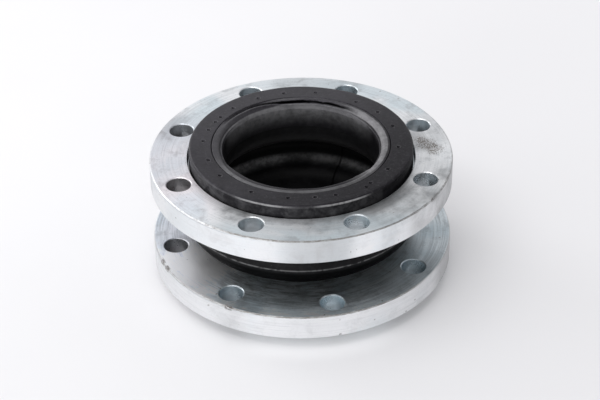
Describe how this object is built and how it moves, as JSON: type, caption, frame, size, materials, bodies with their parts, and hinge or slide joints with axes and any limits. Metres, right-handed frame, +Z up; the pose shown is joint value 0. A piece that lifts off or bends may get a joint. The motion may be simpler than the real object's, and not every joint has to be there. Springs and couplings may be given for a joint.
{
  "type": "rubber expansion joint",
  "caption": "Single-sphere rubber expansion joint with a moulded bead at each end and two loose, drilled, zinc-plated steel flanges that swivel on the rubber necks.",
  "frame": {"origin": "centre of the lower sealing face, on the bore axis", "axes": "+Z up along the bore axis; +X to the right and +Y away from the viewer in the front view; the upper flange's bolt holes straddle X and Y"},
  "size_m": [0.2794, 0.2794, 0.13],
  "materials": {
    "zinc_flange": "zinc plated, cloudy satin with faint turning marks",
    "cover_rubber": "moulded satin charcoal rubber",
    "tube_rubber": "matt black rubber with a trace of mould talc",
    "hard_filler_rubber": "hard matt rubber",
    "nylon_cord": "rubber-dipped nylon tyre cord",
    "wrap_tape": "rubberised wrapping tape",
    "bead_wire": "bronze-coated high-tensile wire"
  },
  "bodies": {
    "lower_end": {"lower_bead_rubber": "cover_rubber", "lower_bead_filler": "hard_filler_rubber", "lower_bead_wire_wrap": "wrap_tape", "lower_bead_wires": "bead_wire"},
    "lower_loose_flange": {"lower_flange": "zinc_flange"},
    "wall_lower_flank": {"cord_ply_1": "nylon_cord"},
    "wall_lower_crown": {"cord_ply_2": "nylon_cord", "inner_tube": "tube_rubber"},
    "wall_upper_crown": {"cord_ply_3": "nylon_cord", "outer_cover": "cover_rubber"},
    "wall_upper_flank": {"cord_ply_4": "nylon_cord"},
    "upper_end": {"upper_bead_rubber": "cover_rubber", "upper_bead_filler": "hard_filler_rubber", "upper_bead_wire_wrap": "wrap_tape", "upper_bead_wires": "bead_wire"},
    "upper_loose_flange": {"upper_flange": "zinc_flange"}
  },
  "joints": [
    {"name": "lower_flange_swivel", "type": "hinge", "parent": "lower_end", "child": "lower_loose_flange", "pos_m": [0, 0, 0.02375], "axis": [0, 0, 1], "continuous": true},
    {"name": "axial_travel", "type": "slide", "parent": "lower_end", "child": "wall_lower_flank", "axis": [0, 0, 1], "range_m": [-0.006, 0.004], "stiffness_N_per_m": 200000, "deforming": ["inner_tube", "outer_cover", "cord_ply_1", "cord_ply_2", "cord_ply_3", "cord_ply_4"]},
    {"name": "lateral_travel", "type": "slide", "parent": "wall_lower_flank", "child": "wall_lower_crown", "axis": [1, 0, 0], "range_m": [-0.004, 0.004], "stiffness_N_per_m": 240000},
    {"name": "angular_bend", "type": "hinge", "parent": "wall_lower_crown", "child": "wall_upper_crown", "pos_m": [0, 0, 0.065], "axis": [0, 1, 0], "range_deg": [-8, 8], "stiffness_Nm_per_rad": 860},
    {"name": "lateral_travel_upper", "type": "slide", "parent": "wall_upper_crown", "child": "wall_upper_flank", "axis": [1, 0, 0], "range_m": [-0.004, 0.004], "stiffness_N_per_m": 240000},
    {"name": "axial_travel_upper", "type": "slide", "parent": "wall_upper_flank", "child": "upper_end", "axis": [0, 0, 1], "range_m": [-0.006, 0.004], "stiffness_N_per_m": 200000},
    {"name": "upper_flange_swivel", "type": "hinge", "parent": "upper_end", "child": "upper_loose_flange", "pos_m": [0, 0, 0.10625], "axis": [0, 0, 1], "continuous": true}
  ],
  "couplings": [
    {"joint": "axial_travel_upper", "follows": "axial_travel", "ratio": 1},
    {"joint": "lateral_travel_upper", "follows": "lateral_travel", "ratio": 1}
  ]
}
